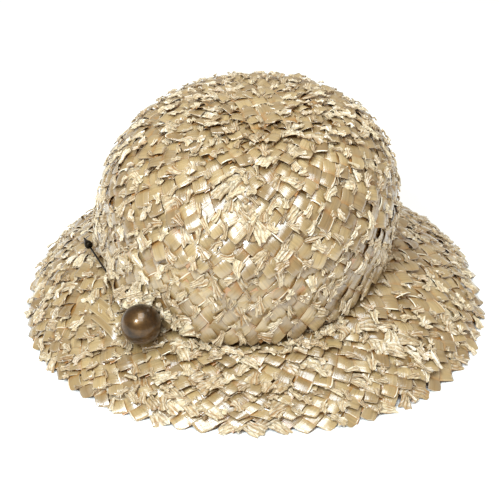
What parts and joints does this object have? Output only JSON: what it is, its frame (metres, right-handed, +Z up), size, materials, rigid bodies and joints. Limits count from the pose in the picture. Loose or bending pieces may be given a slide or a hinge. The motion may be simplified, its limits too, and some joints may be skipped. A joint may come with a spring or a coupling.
{
  "type": "straw bucket hat with hatpin",
  "caption": "Plaited straw hat with a rounded oval crown, a drooping pointed brim and a ball-headed hatpin through the foot of the crown.",
  "frame": {"origin": "on the ground under the middle of the brim, as the hat rests on it", "axes": "+Z up, out of the tip of the crown; the hat's front towards -Y; the wearer's right towards -X, where the hatpin is"},
  "size_m": [0.2794, 0.2968, 0.1317],
  "materials": {
    "crown_straw": "satin plaited straw",
    "brim_straw": "satin plaited straw",
    "under_row_straw": "satin plaited straw",
    "aged_brass": "aged, dark brown",
    "dark_steel": "darkened",
    "dark_brass": "blackened"
  },
  "bodies": {
    "root": {"crown": "crown_straw", "brim": "brim_straw", "under_row": "under_row_straw", "hatpin_ball": "aged_brass", "hatpin_shaft": "dark_steel", "hatpin_guard": "dark_brass"}
  },
  "joints": []
}
